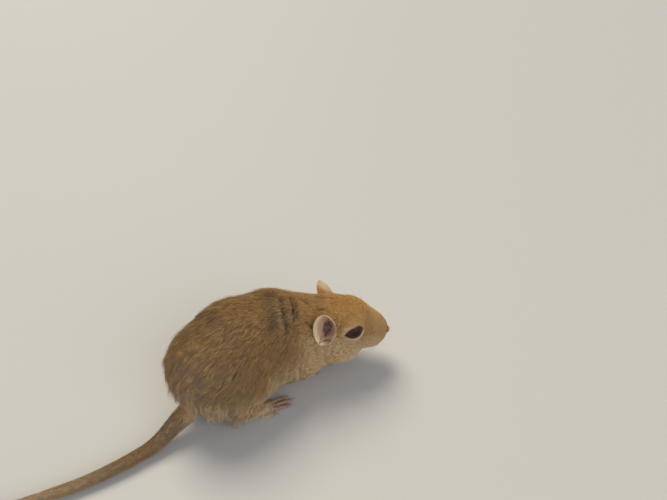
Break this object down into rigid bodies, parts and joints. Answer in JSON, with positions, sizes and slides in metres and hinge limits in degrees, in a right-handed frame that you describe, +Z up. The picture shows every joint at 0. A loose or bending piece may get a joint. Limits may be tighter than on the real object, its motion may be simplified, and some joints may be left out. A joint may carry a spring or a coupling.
{
  "type": "mongolian gerbil",
  "caption": "Life-size gerbil crouched on all fours, head low and turned to its right, long furred tail laid out behind.",
  "frame": {"origin": "middle of the footprint of the whole animal, on the floor", "axes": "+X the way the hips face, with the tail behind along -X; +Y to the animal's left; +Z up"},
  "size_m": [0.2028, 0.054, 0.0515],
  "materials": {
    "coat": "short dense golden fur, cream below",
    "bare_skin": "thin pink skin with a sparse down of hairs",
    "eye": "wet, dark ruby brown"
  },
  "bodies": {
    "root": {"torso": "coat", "neck": "coat", "head": "coat", "nose": "bare_skin", "ear_left": "bare_skin", "ear_right": "bare_skin", "eye_left": "eye", "eye_right": "eye", "foreleg_left": "coat", "foreleg_right": "coat", "forefoot_left": "bare_skin", "forefoot_right": "bare_skin", "hindleg_left": "coat", "hindleg_right": "coat", "hindfoot_left": "bare_skin", "hindfoot_right": "bare_skin", "tail_base": "coat", "tail_middle": "coat", "tail_tip": "coat"}
  },
  "joints": []
}
